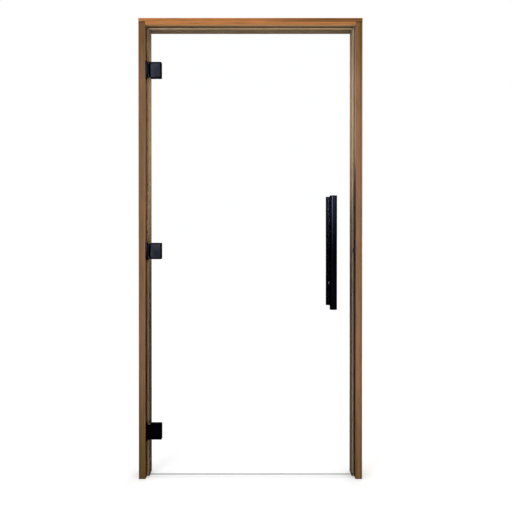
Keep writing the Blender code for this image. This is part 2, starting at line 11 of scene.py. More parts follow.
import bmesh
import bpy
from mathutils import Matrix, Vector


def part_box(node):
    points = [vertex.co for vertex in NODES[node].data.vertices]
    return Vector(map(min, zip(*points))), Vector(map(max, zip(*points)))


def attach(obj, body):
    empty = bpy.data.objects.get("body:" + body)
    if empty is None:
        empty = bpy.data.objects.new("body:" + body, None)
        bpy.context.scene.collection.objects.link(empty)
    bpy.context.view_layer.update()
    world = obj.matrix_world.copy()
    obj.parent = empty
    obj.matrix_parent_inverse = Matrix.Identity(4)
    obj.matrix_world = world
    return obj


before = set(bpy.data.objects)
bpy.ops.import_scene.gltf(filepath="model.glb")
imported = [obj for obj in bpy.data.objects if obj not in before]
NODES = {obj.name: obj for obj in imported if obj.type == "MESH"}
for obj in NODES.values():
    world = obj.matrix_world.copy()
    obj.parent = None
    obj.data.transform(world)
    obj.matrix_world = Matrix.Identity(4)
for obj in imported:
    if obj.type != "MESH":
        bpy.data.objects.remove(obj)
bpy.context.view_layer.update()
FRAME_BODY = "frame"
LEAF_BODY = "leaf"

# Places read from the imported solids
JAMB_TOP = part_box("hinge_jamb")[1].z
HEAD_LOW, HEAD_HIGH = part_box("head")
FRONT = HEAD_LOW.y
LEFT = HEAD_LOW.x
RIGHT = HEAD_HIGH.x
TOP = HEAD_HIGH.z

# Depth of the stop's face behind the front of the frame, and how softly its tones begin
STOP_FACE = 0.030
STOP_FACE_BLEND = 0.001

# Camera, fitted to the photograph's frame corners, stop edges and handle ends
PICTURE = 512
SENSOR = 36.0
FOCAL_PIXELS = 568.5
CAMERA_X = 0.4985
CAMERA_HEIGHT = 1.14
CAMERA_FROM_FRONT = 2.513
CAMERA_TILT = math.radians(0.3)
CAMERA_SHIFT_PIXELS = -31.2
CAMERA_NEAR = 0.05
CAMERA_FAR = 200

# Light levels, where 1 shows a colour as it is written, and the floor's size
WORLD_LEVEL = 0.80
FLOOR_COLOUR = 0.86
FLOOR_GLOW_NEAR = 0.29
FLOOR_GLOW_FAR = 0.37
GLOW_NEAR_REACH = 1.0
GLOW_FAR_REACH = 5.0
FLOOR_HALF_SIDE = 40

# Softboxes: where each stands and what it faces, its width and height, its power in watts
DOOR_MIDDLE = (0.47, 0.0, 1.1)
ABOVE_HANDLE = (0.83, 0.0, 1.85)
SOFTBOXES = {
    "left": {
        "place": (-0.95, -2.3, 2.6), "target": DOOR_MIDDLE, "size": (0.5, 1.4), "power": 18,
    },
    "right": {
        "place": (1.95, -2.6, 2.0), "target": DOOR_MIDDLE, "size": (0.8, 1.4), "power": 8,
    },
    "back": {
        "place": (1.6, 2.6, 2.8), "target": DOOR_MIDDLE, "size": (0.6, 1.6), "power": 12,
    },
    "card": {
        "place": (-1.05, -2.70, 1.85), "target": ABOVE_HANDLE, "size": (0.5, 1.6), "power": 78,
    },
}

# Shading and clean-up of the solids' meshes
SHARP_ANGLE = math.radians(38)
WELD_DISTANCE = 0.00001

# Widths of the solids' softened edges
WOOD_EDGE = 0.0007
METAL_EDGE = 0.0005
CARRIER_EDGE = 0.0003
HOUSING_EDGE = 0.0002
PAD_EDGE = 0.0002
GLASS_ARRIS = 0.0014

# Screw heads: the radius and height of each kind, how far they reach into what they hold,
# and the steps round them
COUNTERSUNK_SCREW = {"radius": 0.0038, "height": 0.0008}
CLAMP_SCREW = {"radius": 0.0046, "height": 0.0018}
FRAME_SCREW = {"radius": 0.0046, "height": 0.0006}
SCREW_SUNK = 0.0002
SCREW_STEPS = 24

# A screw's dome, as (share of its radius, share of its height), and its hexagon socket:
# half its width as a share of the radius, its rim against that, and its lip and floor as
# shares of the height
DOME = ((1.0, 0.35), (0.93, 0.70), (0.78, 0.94))
SOCKET_SHARE = 0.50
SOCKET_RIM = 1.16
SOCKET_LIP = 0.97
SOCKET_FLOOR = 0.15

# Places of the screws on what they hold
LEAF_FACE_FROM_WALL = 0.0027
LEAF_SCREWS_FROM_BACK = 0.0062
LEAF_SCREW_HEIGHTS = (-0.030, -0.010, 0.010, 0.030)
CLAMP_SCREW_HEIGHTS = (-0.020, 0.020)
CATCH_SCREW_HEIGHTS = (-0.038, 0.038)
HEAD_SCREW_FROM_END = 0.019
HEAD_SCREW_DEPTHS = (0.024, 0.066)

# The wood of each member. Its face, rebate, stop side and wall are one wood in lit and shaded
# copies, each toned for how light falls there: painted light and shade. A part's tone takes on
# the foot's tint between two shares of the member's length, from the second down to the first:
# painted shade towards the floor. Then its outer edge's tint, how much the line beside that
# shows lower down, the pith of its rings as (across, depth), and its knots as (height, length).
WOOD = {
    "hinge_jamb": {
        "parts": {
            "face": {"tone": (140, 106, 84), "foot": (0.54, 0.59, 0.34), "fade": (0.0, 0.30)},
            "rebate": {"tone": (172, 148, 126), "foot": (0.44, 0.42, 0.38), "fade": (0.36, 0.66)},
            "stop": {"tone": (172, 138, 100), "foot": (0.11, 0.07, 0.03), "fade": (0.32, 0.76)},
            "wall": {"tone": (152, 113, 75), "foot": (0.27, 0.22, 0.19), "fade": (0.20, 0.78)},
        },
        "edge": (0.90, 0.97, 0.96),
        "line": 0.45,
        "pith": (-0.055, 0.140),
        "knots": [(0.90, 0.060)],
    },
    "latch_jamb": {
        "parts": {
            "face": {"tone": (150, 113, 86), "foot": (0.68, 0.73, 0.58), "fade": (0.0, 0.30)},
            "rebate": {"tone": (206, 182, 162), "foot": (0.36, 0.38, 0.38), "fade": (0.48, 0.70)},
            "stop": {"tone": (170, 138, 106), "foot": (0.20, 0.19, 0.17), "fade": (0.40, 0.80)},
            "wall": {"tone": (190, 162, 130), "foot": (0.08, 0.06, 0.04), "fade": (0.62, 0.74)},
        },
        "edge": (1.0, 1.10, 1.30),
        "line": 0.60,
        "pith": (0.110, 0.170),
        "knots": [(1.147, 0.040), (0.832, 0.045)],
    },
    "head": {
        "parts": {
            "face": {"tone": (194, 129, 83), "foot": (1.0, 1.0, 1.0), "fade": (0.0, 0.30)},
            "rebate": {"tone": (206, 172, 140), "foot": (0.9, 0.9, 0.9), "fade": (0.20, 0.80)},
            "stop": {"tone": (118, 100, 76), "foot": (0.9, 0.9, 0.9), "fade": (0.20, 0.80)},
            "wall": {"tone": (205, 162, 118), "foot": (0.9, 0.9, 0.9), "fade": (0.20, 0.80)},
        },
        "edge": (1.0, 0.96, 0.90),
        "line": 0.10,
        "pith": (0.090, -0.060),
        "knots": [],
    },
}

# Levels between which most of a noise lies
NOISE_LOW = 0.3
NOISE_HIGH = 0.7

# How squarely a surface has to face one way before it starts to count, and fully counts,
# as facing it: the wood's sides and front, its sawn ends, the flats of the coated metal,
# and the glass's faces, where it is the other way round
SIDE_START = 0.5
SIDE_FULL = 0.8
SAWN_START = 0.6
SAWN_FULL = 0.9
FLAT_START = 0.80
FLAT_FULL = 0.97
GLASS_EDGE_START = 0.98
GLASS_EDGE_FULL = 0.90

# How far the tones' changes waver along a member, as a share of its length
FADE_WAVER = 0.04
WAVER_LOW = 0.2
WAVER_HIGH = 0.8

# Where each member's figures start, so that no two members are alike
FIRST_SEED = 1.3
SEED_STEP = 3.7

# Figures of the wood, each a noise drawn out along the board: how many features it has in
# a metre across the board, how far they are drawn out, and the axes that the seed moves
FIGURES = {
    "slow": {"scale": 42, "stretch": 0.05, "detail": 3, "roughness": 0.55, "moved": (1, 1, 0)},
    "broad": {"scale": 105, "stretch": 0.012, "detail": 1, "roughness": 0.4, "moved": (0, 1, 1)},
    "streak": {"scale": 210, "stretch": 0.05, "detail": 2, "roughness": 0.5, "moved": (1, 0, 1)},
    "lines": {"scale": 620, "stretch": 0.015, "detail": 4, "roughness": 0.6, "moved": (0, 0, 0)},
    "fibres": {"scale": 2300, "stretch": 0.02, "detail": 2, "roughness": 0.6, "moved": (0, 0, 0)},
    "pores": {"scale": 1500, "stretch": 0.05, "detail": 1, "roughness": 0.5, "moved": (0, 0, 1)},
}

# Growth rings: their spacing, how far they are drawn out and how they waver. Blender's ring
# texture multiplies a distance by the factor before it takes the sine.
RING_SPACING = 0.0034
RING_STRETCH = 0.03
RING_WAVER = 5.0
RING_WAVER_DETAIL = 2.0
RING_WAVER_SCALE = 0.30
WAVE_FACTOR = 20

# Streaks: the figure, the levels of it where they start and are full, and their tint
STREAKS = (
    ("broad", 0.52, 0.66, (1.22, 1.02, 0.98)),
    ("broad", 0.48, 0.36, (0.86, 0.86, 0.62)),
    ("streak", 0.54, 0.68, (1.20, 1.08, 0.96)),
    ("streak", 0.46, 0.34, (0.80, 0.80, 0.74)),
)

# Dark marks: the levels of their figure where they start and are full, how much of them
# shows, and their tone
MARKS = {
    "rings": {"start": 0.55, "full": 0.97, "shown": 0.42, "tone": 0.45},
    "lines": {"start": 0.50, "full": 0.72, "shown": 0.38, "tone": 0.50},
    "fibres": {"start": 0.35, "full": 0.75, "shown": 0.30, "tone": 0.62},
    "pores": {"start": 0.68, "full": 0.74, "shown": 0.55, "tone": 0.42},
}

# How much of the streaks and of the marks shows inside the opening
INNER_STREAKS = 0.70
INNER_MARKS = 0.45

# Relief of the grain: its height, and what the rings and fibres add to the lines
GRAIN_HEIGHT = 0.00022
GRAIN_STRENGTH = 0.7
RING_RELIEF = -0.5
FIBRE_RELIEF = 0.6

# Roughness and specular level of the planed wood
WOOD_SMOOTHEST = 0.52
WOOD_ROUGHEST = 0.68
WOOD_SPECULAR = 0.001

# Knots on the side of the stop: the depth of their middle and half their width, the shares
# of their own size between which they darken inwards, how much of them shows, their tone
KNOT_DEPTH = 0.058
KNOT_HALF_WIDTH = 0.012
KNOT_RIM = 1.3
KNOT_HEART = 0.5
KNOT_SHOWN = 0.8
KNOT_TONE = 0.35

# The outer edge of each face and the dark line beside it, as distances from the outer side
# where each is still full and where it has ended, and the shares of the member's length
# between which the line comes out fully
EDGE_FULL = 0.0052
EDGE_END = 0.0064
LINE_FULL = 0.0098
LINE_END = 0.0110
LINE_RISE = (0.60, 0.92)
LINE_TINT = (0.72, 0.66, 0.42)

# The sawn ends, darker than the planed sides
SAWN_END_SHOWN = 0.8
SAWN_END_TONE = 0.45

# The head's upper part: its height on the face, how softly it ends, the shares of the
# head's length between which it darkens, and its tint there
HEAD_BAND = 0.0185
HEAD_BAND_BLEND = 0.001
HEAD_BAND_FADE = (0.45, 0.78)
HEAD_BAND_TINT = (0.50, 0.57, 0.55)

# The jambs' shadow under the head and the joint there, as heights below the head where
# each starts and is full
SHADOW_START = 0.30
SHADOW_FULL = 0.05
FACE_SHADOW_TINT = (0.72, 0.74, 0.55)
INNER_SHADOW_TINT = (0.64, 0.59, 0.60)
JOINT_START = 0.009
JOINT_FULL = 0.002
JOINT_SHOWN = 0.7
JOINT_TONE = 0.30

# Heights between which a finish darkens to the foot: painted shade, as if lit from above; on
# the tube it fades the reflections
HINGE_FADE = (0.25, 0.95)
TUBE_FADE = (1.00, 1.34)
SEAL_FADE = (0.60, 1.25)
LATCH_SEAL_FADE = (1.22, 1.52)

# Coated metal: the rim along the hinge plates' outline, which is painted shade, where it
# starts and is full, its tint, the tint of the coating's clouds, its specks, and what it
# reflects at a low angle
RIM_START = 0.0070
RIM_FULL = 0.0056
RIM_SHADE_TINT = (0.35, 0.32, 0.36)
CLOUD_TINT = (1.25, 1.22, 1.18)
SPECK_COLOUR = (0.03, 0.03, 0.033, 1.0)
LOW_ANGLE_COLOUR = (0.06, 0.06, 0.08, 1.0)
PEEL_HEIGHT = 0.00004

# Glass: its faces, its ground edges and its shadow, an IOR and specular level that keep
# reflections faint, and the roughness of the edges
GLASS_FACE_COLOUR = (0.996, 1.0, 0.998, 1.0)
GLASS_EDGE_COLOUR = (0.025, 0.036, 0.032, 1.0)
GLASS_SHADOW_COLOUR = (0.98, 0.985, 0.983, 1.0)
GLASS_IOR = 1.20
GLASS_SPECULAR = 0.15
EDGE_SMOOTHEST = 0.30
EDGE_ROUGHEST = 0.50

# Specular level of the seals' rubber
SEAL_SPECULAR = 0.02


class Graph:
    """A material with short calls for the nodes that this script uses."""

    def __init__(self, name):
        self.material = bpy.data.materials.new(name)
        self.material.use_nodes = True
        self.tree = self.material.node_tree
        self.shader = self.tree.nodes["Principled BSDF"]
        self.output = self.tree.nodes["Material Output"]

    def node(self, kind, **settings):
        made = self.tree.nodes.new(kind)
        for key, value in settings.items():
            setattr(made, key, value)
        return made

    def feed(self, socket, value):
        """Links the value to a socket if it comes from a node, and sets it there if not."""
        if isinstance(value, bpy.types.NodeSocket):
            self.tree.links.new(value, socket)
        else:
            socket.default_value = value

    def set(self, **values):
        """Sets or links the shader's sockets, named with _ for a space."""
        for key, value in values.items():
            self.feed(self.shader.inputs[key.replace("_", " ")], value)

    def place(self):
        return self.node("ShaderNodeTexCoord").outputs["Object"]

    def normal(self):
        return self.node("ShaderNodeTexCoord").outputs["Normal"]

    def parts(self, vector):
        made = self.node("ShaderNodeSeparateXYZ")
        self.feed(made.inputs[0], vector)
        return made.outputs[0], made.outputs[1], made.outputs[2]

    def whole(self, x, y, z):
        made = self.node("ShaderNodeCombineXYZ")
        for socket, value in zip(made.inputs, (x, y, z)):
            self.feed(socket, value)
        return made.outputs[0]

    def math(self, operation, first, second=0.0):
        made = self.node("ShaderNodeMath", operation=operation)
        self.feed(made.inputs[0], first)
        self.feed(made.inputs[1], second)
        return made.outputs[0]

    def times(self, first, second):
        return self.math("MULTIPLY", first, second)

    def length(self, x, y):
        """The length of a vector with these two components."""
        squares = self.math("ADD", self.math("POWER", x, 2.0), self.math("POWER", y, 2.0))
        return self.math("SQRT", squares)

    def scaled(self, vector, scale, offset=(0, 0, 0)):
        made = self.node("ShaderNodeMapping")
        self.feed(made.inputs["Vector"], vector)
        made.inputs["Scale"].default_value = scale
        made.inputs["Location"].default_value = offset
        return made.outputs[0]

    def noise(self, vector, scale, detail=3.0, roughness=0.5):
        made = self.node("ShaderNodeTexNoise")
        self.feed(made.inputs["Vector"], vector)
        made.inputs["Scale"].default_value = scale
        made.inputs["Detail"].default_value = detail
        made.inputs["Roughness"].default_value = roughness
        return made.outputs["Fac"]

    def band(self, value, low, high, to_low=0.0, to_high=1.0):
        """Runs smoothly from one value to the other as the input goes from low to high."""
        made = self.node("ShaderNodeMapRange", interpolation_type="SMOOTHSTEP")
        self.feed(made.inputs["Value"], value)
        made.inputs["From Min"].default_value = low
        made.inputs["From Max"].default_value = high
        made.inputs["To Min"].default_value = to_low
        made.inputs["To Max"].default_value = to_high
        return made.outputs[0]

    def spread(self, noise, to_low=0.0, to_high=1.0):
        """A noise, with its usual levels spread over a range."""
        return self.band(noise, NOISE_LOW, NOISE_HIGH, to_low, to_high)

    def mix(self, amount, first, second, blend="MIX"):
        made = self.node("ShaderNodeMix", data_type="RGBA", blend_type=blend)
        self.feed(made.inputs[0], amount)
        self.feed(made.inputs[6], first)
        self.feed(made.inputs[7], second)
        return made.outputs[2]

    def shaded(self, amount, colour, tone):
        """The colour, multiplied by a tone where the amount is 1."""
        return self.mix(amount, colour, (tone, tone, tone, 1.0), "MULTIPLY")

    def tinted(self, amount, colour, tint):
        """The colour, multiplied by a tint where the amount is 1."""
        return self.mix(amount, colour, self.multiplied(colour, (*tint, 1.0)))

    def multiplied(self, colour, factor):
        """The colour, multiplied by a colour or level that may be worked out on the surface."""
        return self.mix(1.0, colour, factor, "MULTIPLY")

    def painted_shade_to_foot(self, colour, height, fade, foot):
        """The colour, darker from the fade's upper height down to a level at its lower one:
        painted shade.
        """
        return self.multiplied(colour, self.band(height, *fade, foot, 1.0))

    def bump(self, height, distance, strength=1.0):
        made = self.node("ShaderNodeBump")
        self.feed(made.inputs["Height"], height)
        made.inputs["Distance"].default_value = distance
        made.inputs["Strength"].default_value = strength
        return made.outputs[0]


class Board:
    """A member of the frame: where a point lies on it, how its side faces, and its figures."""

    def __init__(self, graph, member, seed):
        self.graph = graph
        self.seed = seed
        self.is_head = member == "head"
        x, y, z = graph.parts(graph.place())
        normal_x, normal_y, normal_z = graph.parts(graph.normal())

        # Across from the outer side, into the depth from the front, and along
        if member == "hinge_jamb":
            self.across = graph.math("SUBTRACT", x, LEFT)
            inward = normal_x
        elif member == "latch_jamb":
            self.across = graph.math("SUBTRACT", RIGHT, x)
            inward = graph.times(normal_x, -1.0)
        else:
            self.across = graph.math("SUBTRACT", TOP, z)
            inward = graph.times(normal_z, -1.0)
        self.depth = graph.math("SUBTRACT", y, FRONT)
        self.along, end = (x, normal_x) if self.is_head else (z, normal_z)
        start, length = (LEFT, RIGHT - LEFT) if self.is_head else (0.0, JAMB_TOP)
        self.share = graph.math("DIVIDE", graph.math("SUBTRACT", self.along, start), length)

        # 1 on the sides inside the opening, on the front, on the sawn ends and on the stop
        self.inward = graph.band(inward, SIDE_START, SIDE_FULL)
        self.front = graph.band(normal_y, -SIDE_START, -SIDE_FULL)
        self.sawn_end = graph.band(graph.math("ABSOLUTE", end), SAWN_START, SAWN_FULL)
        self.on_stop = graph.band(self.depth, STOP_FACE - STOP_FACE_BLEND, STOP_FACE)
        self.in_rebate = graph.times(self.on_stop, self.front)

        self.section = graph.whole(self.across, self.depth, self.along)
        self.figures = {name: self.figure(**look) for name, look in FIGURES.items()}
        self.figures["rings"] = self.rings(WOOD[member]["pith"])

    def figure(self, scale, stretch, detail, roughness, moved):
        offset = tuple(self.seed * step for step in moved)
        drawn_out = self.graph.scaled(self.section, (1, 1, stretch), offset)
        return self.graph.noise(drawn_out, scale, detail, roughness)

    def rings(self, pith):
        """Growth rings about a pith beside the board: each rises slowly to its late wood."""
        offset = (-pith[0], -pith[1], self.seed)
        drawn_out = self.graph.scaled(self.section, (1, 1, RING_STRETCH), offset)
        rings = self.graph.node(
            "ShaderNodeTexWave", wave_type="RINGS", rings_direction="Z", wave_profile="SAW"
        )
        self.graph.feed(rings.inputs["Vector"], drawn_out)
        rings.inputs["Scale"].default_value = math.tau / WAVE_FACTOR / RING_SPACING
        rings.inputs["Distortion"].default_value = RING_WAVER
        rings.inputs["Detail"].default_value = RING_WAVER_DETAIL
        rings.inputs["Detail Scale"].default_value = RING_WAVER_SCALE
        return rings.outputs["Fac"]


def linear(red, green, blue):
    """A colour as it shows on screen, 0 to 255, in the linear values that shaders take."""
    values = []
    for channel in (red, green, blue):
        share = channel / 255
        if share <= 0.04045:
            values.append(share / 12.92)
        else:
            values.append(((share + 0.055) / 1.055) ** 2.4)
    return tuple(values)


def opaque(red, green, blue):
    return (*linear(red, green, blue), 1.0)


def lit_and_shaded_part_tones(board, look):
    """The face, the rebate, the side of the stop and the wall, each in its lit or shaded tone and
    darker to the foot: painted light and shade.
    """
    graph = board.graph
    slow = board.figures["slow"]
    waver = graph.band(slow, WAVER_LOW, WAVER_HIGH, -FADE_WAVER, FADE_WAVER)
    uneven = graph.math("ADD", board.share, waver)
    tones = {}
    # Each part's painted lit or shaded tone, with painted shade towards the foot
    for part, shade in look["parts"].items():
        low, high = shade["fade"]
        painted_shade_at_foot = graph.band(uneven, high, low)
        tones[part] = graph.tinted(painted_shade_at_foot, opaque(*shade["tone"]), shade["foot"])
    inner = graph.mix(board.on_stop, tones["wall"], tones["stop"])
    inner = with_knots(board, inner, look["knots"])
    outer = graph.mix(board.in_rebate, tones["face"], tones["rebate"])
    return graph.mix(board.inward, outer, inner)


def with_knots(board, colour, knots):
    """Small dark knots on the side of the stop, as (height, length) pairs."""
    graph = board.graph
    for height, length in knots:
        up = graph.math("DIVIDE", graph.math("SUBTRACT", board.along, height), length / 2)
        beside = graph.math("SUBTRACT", board.depth, KNOT_DEPTH)
        over = graph.math("DIVIDE", beside, KNOT_HALF_WIDTH)
        knot = graph.band(graph.length(up, over), KNOT_RIM, KNOT_HEART, 0.0, KNOT_SHOWN)
        colour = graph.shaded(knot, colour, KNOT_TONE)
    return colour


def with_dark_band(board, colour):
    """The head's upper part, which darkens towards the latch jamb."""
    graph = board.graph
    upper = graph.band(board.across, HEAD_BAND + HEAD_BAND_BLEND, HEAD_BAND - HEAD_BAND_BLEND)
    amount = graph.times(upper, graph.band(board.share, *HEAD_BAND_FADE))
    return graph.tinted(amount, colour, HEAD_BAND_TINT)


def with_head_shadow(board, colour):
    """A jamb's shadow under the head, and the dark joint between the two."""
    graph = board.graph
    near_head = graph.band(board.along, JAMB_TOP - SHADOW_START, JAMB_TOP - SHADOW_FULL)
    tint = graph.mix(
        graph.math("MAXIMUM", board.in_rebate, board.inward),
        (*FACE_SHADOW_TINT, 1.0),
        (*INNER_SHADOW_TINT, 1.0),
    )
    colour = graph.mix(near_head, colour, graph.multiplied(colour, tint))
    joint = graph.band(board.along, JAMB_TOP - JOINT_START, JAMB_TOP - JOINT_FULL)
    return graph.shaded(graph.times(joint, JOINT_SHOWN), colour, JOINT_TONE)


def with_streaks(board, colour):
    """Broad streaks that turn redder, paler or more olive, and show less in the opening."""
    graph = board.graph
    shown = graph.band(board.inward, 0.0, 1.0, 1.0, INNER_STREAKS)
    for name, start, full, tint in STREAKS:
        amount = graph.times(graph.band(board.figures[name], start, full), shown)
        colour = graph.tinted(amount, colour, tint)
    return colour


def with_outer_edge(board, colour, look):
    """The face's outer edge in its own tint, with a dark olive line beside it."""
    graph = board.graph
    both = graph.times(board.front, graph.band(board.across, LINE_END, LINE_FULL))
    line = graph.times(both, graph.band(board.across, EDGE_FULL, EDGE_END))
    line = graph.times(line, graph.band(board.share, *LINE_RISE, look["line"], 1.0))
    colour = graph.tinted(line, colour, LINE_TINT)
    edge = graph.times(both, graph.band(board.across, EDGE_END, EDGE_FULL))
    return graph.tinted(edge, colour, look["edge"])


def wood(member, seed):
    """Heat-treated softwood: tones that run down the board with painted light and shade, streaks,
    rings, lines and fibres.
    """
    look = WOOD[member]
    graph = Graph("wood_" + member)
    board = Board(graph, member, seed)
    colour = lit_and_shaded_part_tones(board, look)
    colour = with_dark_band(board, colour) if board.is_head else with_head_shadow(board, colour)
    colour = with_streaks(board, colour)

    shown = graph.band(board.inward, 0.0, 1.0, 1.0, INNER_MARKS)
    marks = {}
    for name, mark in MARKS.items():
        marks[name] = graph.band(board.figures[name], mark["start"], mark["full"])
        amount = graph.times(graph.times(marks[name], shown), mark["shown"])
        colour = graph.shaded(amount, colour, mark["tone"])

    colour = with_outer_edge(board, colour, look)
    sawn = graph.times(board.sawn_end, SAWN_END_SHOWN)
    colour = graph.shaded(sawn, colour, SAWN_END_TONE)

    lines = board.figures["lines"]
    fine = graph.math("ADD", lines, graph.times(board.figures["fibres"], FIBRE_RELIEF))
    relief = graph.math("ADD", graph.times(marks["rings"], RING_RELIEF), fine)
    relief = graph.times(relief, shown)
    graph.set(Base_Color=colour, Roughness=graph.spread(lines, WOOD_SMOOTHEST, WOOD_ROUGHEST))
    graph.set(Normal=graph.bump(relief, GRAIN_HEIGHT, GRAIN_STRENGTH))
    graph.set(Specular_IOR_Level=WOOD_SPECULAR)
    return graph.material


def painted_rim_shade(graph, place):
    """1 along the outline of the hinges' plates, where a painted shade darkens their bevelled
    edges.

    The heights repeat from one hinge to the next, so that one rim serves all three.
    """
    low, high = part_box("hinge_2_inner_plate")
    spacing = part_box("hinge_3_inner_plate")[0].z - low.z
    x, _, z = graph.parts(place)
    above = graph.math("SUBTRACT", z, (low.z + high.z) / 2 - spacing * 2.5)
    from_middle = graph.math("SUBTRACT", graph.math("MODULO", above, spacing), spacing / 2)
    off_middle = graph.math("ABSOLUTE", from_middle)
    from_end = graph.math("SUBTRACT", (high.z - low.z) / 2, off_middle)
    from_side = graph.math("SUBTRACT", high.x, x)
    nearest = graph.math("MINIMUM", from_end, from_side)
    return graph.band(nearest, RIM_START, RIM_FULL)


def coated_metal(name, flat, edge, roughness, peel, fade, foot, rim=False):
    """Black coated metal: what it reflects is faint and cool, with painted shade that makes it
    fainter on the faces that don't face front or back and towards the foot.
    """
    graph = Graph(name)
    place = graph.place()
    _, normal_y, _ = graph.parts(graph.normal())
    _, _, height = graph.parts(place)
    facing = graph.band(graph.math("ABSOLUTE", normal_y), FLAT_START, FLAT_FULL)
    # Painted shade: faces that don't face front or back take the darker edge colour
    colour = graph.mix(facing, opaque(*edge), opaque(*flat))
    # Painted shade along the hinge plates' outline
    if rim:
        colour = graph.tinted(painted_rim_shade(graph, place), colour, RIM_SHADE_TINT)
    # Painted shade, darker to the foot
    colour = graph.painted_shade_to_foot(colour, height, fade, foot)
    cloud = graph.noise(place, scale=38, detail=4, roughness=0.6)
    colour = graph.tinted(graph.band(cloud, 0.35, 0.70), colour, CLOUD_TINT)
    speck = graph.band(graph.noise(place, scale=3200, detail=1), 0.70, 0.76, 0.0, 0.4)
    colour = graph.mix(speck, colour, SPECK_COLOUR)
    gloss = graph.spread(cloud, roughness - 0.03, roughness + 0.05)
    grain = graph.noise(place, scale=1500, detail=2, roughness=0.5)
    graph.set(Base_Color=colour, Roughness=gloss, Metallic=1.0)
    graph.set(Normal=graph.bump(grain, PEEL_HEIGHT, peel))
    graph.set(Specular_Tint=LOW_ANGLE_COLOUR)
    return graph.material


def steel():
    """Dark turned steel, with fine rings from the lathe."""
    graph = Graph("dark_steel")
    place = graph.place()
    turning = graph.noise(graph.scaled(place, (1, 1, 14)), scale=900, detail=2, roughness=0.6)
    cloud = graph.noise(place, scale=120, detail=3)
    colour = graph.mix(graph.spread(cloud), opaque(58, 58, 61), opaque(84, 84, 88))
    graph.set(Base_Color=colour, Metallic=1.0)
    graph.set(Roughness=graph.spread(turning, 0.24, 0.40))
    graph.set(Normal=graph.bump(turning, distance=0.00003, strength=0.5))
    return graph.material


def seal_rubber(name, dark, pale, fade, foot):
    """Bulb seal: matt, with painted shade darker to the foot, faint lines from the die and a
    little dust.
    """
    graph = Graph(name)
    place = graph.place()
    _, _, height = graph.parts(place)
    cloud = graph.noise(place, scale=26, detail=4, roughness=0.6)
    die = graph.noise(graph.scaled(place, (1, 1, 0.02)), scale=1400, detail=2)
    colour = graph.mix(graph.band(cloud, 0.30, 0.75), opaque(*dark), opaque(*pale))
    # Painted shade, darker to the foot
    colour = graph.painted_shade_to_foot(colour, height, fade, foot)
    colour = graph.shaded(graph.band(die, 0.45, 0.75, 0.0, 0.35), colour, 0.7)
    graph.set(Base_Color=colour, Roughness=graph.spread(cloud, 0.56, 0.72))
    graph.set(Normal=graph.bump(die, distance=0.00008, strength=0.6))
    graph.set(Specular_IOR_Level=SEAL_SPECULAR)
    return graph.material


def pad_rubber():
    """Black rubber of the pads and washers, with a fine grain."""
    graph = Graph("black_rubber")
    grain = graph.noise(graph.place(), scale=2600, detail=3, roughness=0.6)
    dark = (0.010, 0.010, 0.010, 1.0)
    pale = (0.022, 0.022, 0.022, 1.0)
    colour = graph.mix(graph.spread(grain), dark, pale)
    graph.set(Base_Color=colour, Roughness=graph.spread(grain, 0.70, 0.86))
    graph.set(Normal=graph.bump(grain, distance=0.00006, strength=0.7))
    return graph.material


def matt_black(name, dark, pale, specular):
    """Black nylon or powder coating, with a fine grain and paler where it is worn."""
    graph = Graph(name)
    place = graph.place()
    grain = graph.noise(place, scale=1900, detail=3, roughness=0.55)
    wear = graph.noise(place, scale=210, detail=4, roughness=0.6)
    colour = graph.mix(graph.band(wear, 0.35, 0.70), opaque(*dark), opaque(*pale))
    graph.set(Base_Color=colour, Roughness=graph.spread(wear, 0.36, 0.52))
    graph.set(Normal=graph.bump(grain, distance=0.00005, strength=0.6))
    graph.set(Specular_IOR_Level=specular)
    return graph.material


def clear_glass():
    """Toughened clear glass: bright faces, dark ground edges, and a shadow that is faint."""
    graph = Graph("clear_glass")
    _, normal_y, _ = graph.parts(graph.normal())
    facing = graph.math("ABSOLUTE", normal_y)
    on_edge = graph.band(facing, GLASS_EDGE_START, GLASS_EDGE_FULL)
    colour = graph.mix(on_edge, GLASS_FACE_COLOUR, GLASS_EDGE_COLOUR)
    ground = graph.noise(graph.place(), scale=900, detail=3, roughness=0.6)
    frost = graph.times(on_edge, graph.spread(ground, EDGE_SMOOTHEST, EDGE_ROUGHEST))
    graph.set(Base_Color=colour, Roughness=frost)
    graph.set(Transmission_Weight=graph.math("SUBTRACT", 1.0, on_edge))
    graph.set(IOR=GLASS_IOR, Specular_IOR_Level=GLASS_SPECULAR)
    rays = graph.node("ShaderNodeLightPath")
    clear = graph.node("ShaderNodeBsdfTransparent")
    clear.inputs["Color"].default_value = GLASS_SHADOW_COLOUR
    both = graph.node("ShaderNodeMixShader")
    graph.feed(both.inputs[0], rays.outputs["Is Shadow Ray"])
    graph.feed(both.inputs[1], graph.shader.outputs[0])
    graph.feed(both.inputs[2], clear.outputs[0])
    graph.feed(graph.output.inputs["Surface"], both.outputs[0])
    return graph.material


def smooth_by_angle():
    """A geometry group that shades everything smooth except across sharp edges."""
    group = bpy.data.node_groups.new("smooth_by_angle", "GeometryNodeTree")
    for side in ("INPUT", "OUTPUT"):
        group.interface.new_socket(
            "Geometry", in_out=side, socket_type="NodeSocketGeometry"
        )
    start = group.nodes.new("NodeGroupInput")
    end = group.nodes.new("NodeGroupOutput")
    faces = group.nodes.new("GeometryNodeSetShadeSmooth")
    faces.domain = "FACE"
    faces.inputs["Shade Smooth"].default_value = True
    edges = group.nodes.new("GeometryNodeSetShadeSmooth")
    edges.domain = "EDGE"
    edges.inputs["Shade Smooth"].default_value = False
    angle = group.nodes.new("GeometryNodeInputMeshEdgeAngle")
    sharp = group.nodes.new("ShaderNodeMath")
    sharp.operation = "GREATER_THAN"
    sharp.inputs[1].default_value = SHARP_ANGLE
    links = group.links
    links.new(start.outputs[0], faces.inputs["Geometry"])
    links.new(faces.outputs[0], edges.inputs["Geometry"])
    links.new(angle.outputs["Unsigned Angle"], sharp.inputs[0])
    links.new(sharp.outputs[0], edges.inputs["Selection"])
    links.new(edges.outputs[0], end.inputs[0])
    return group


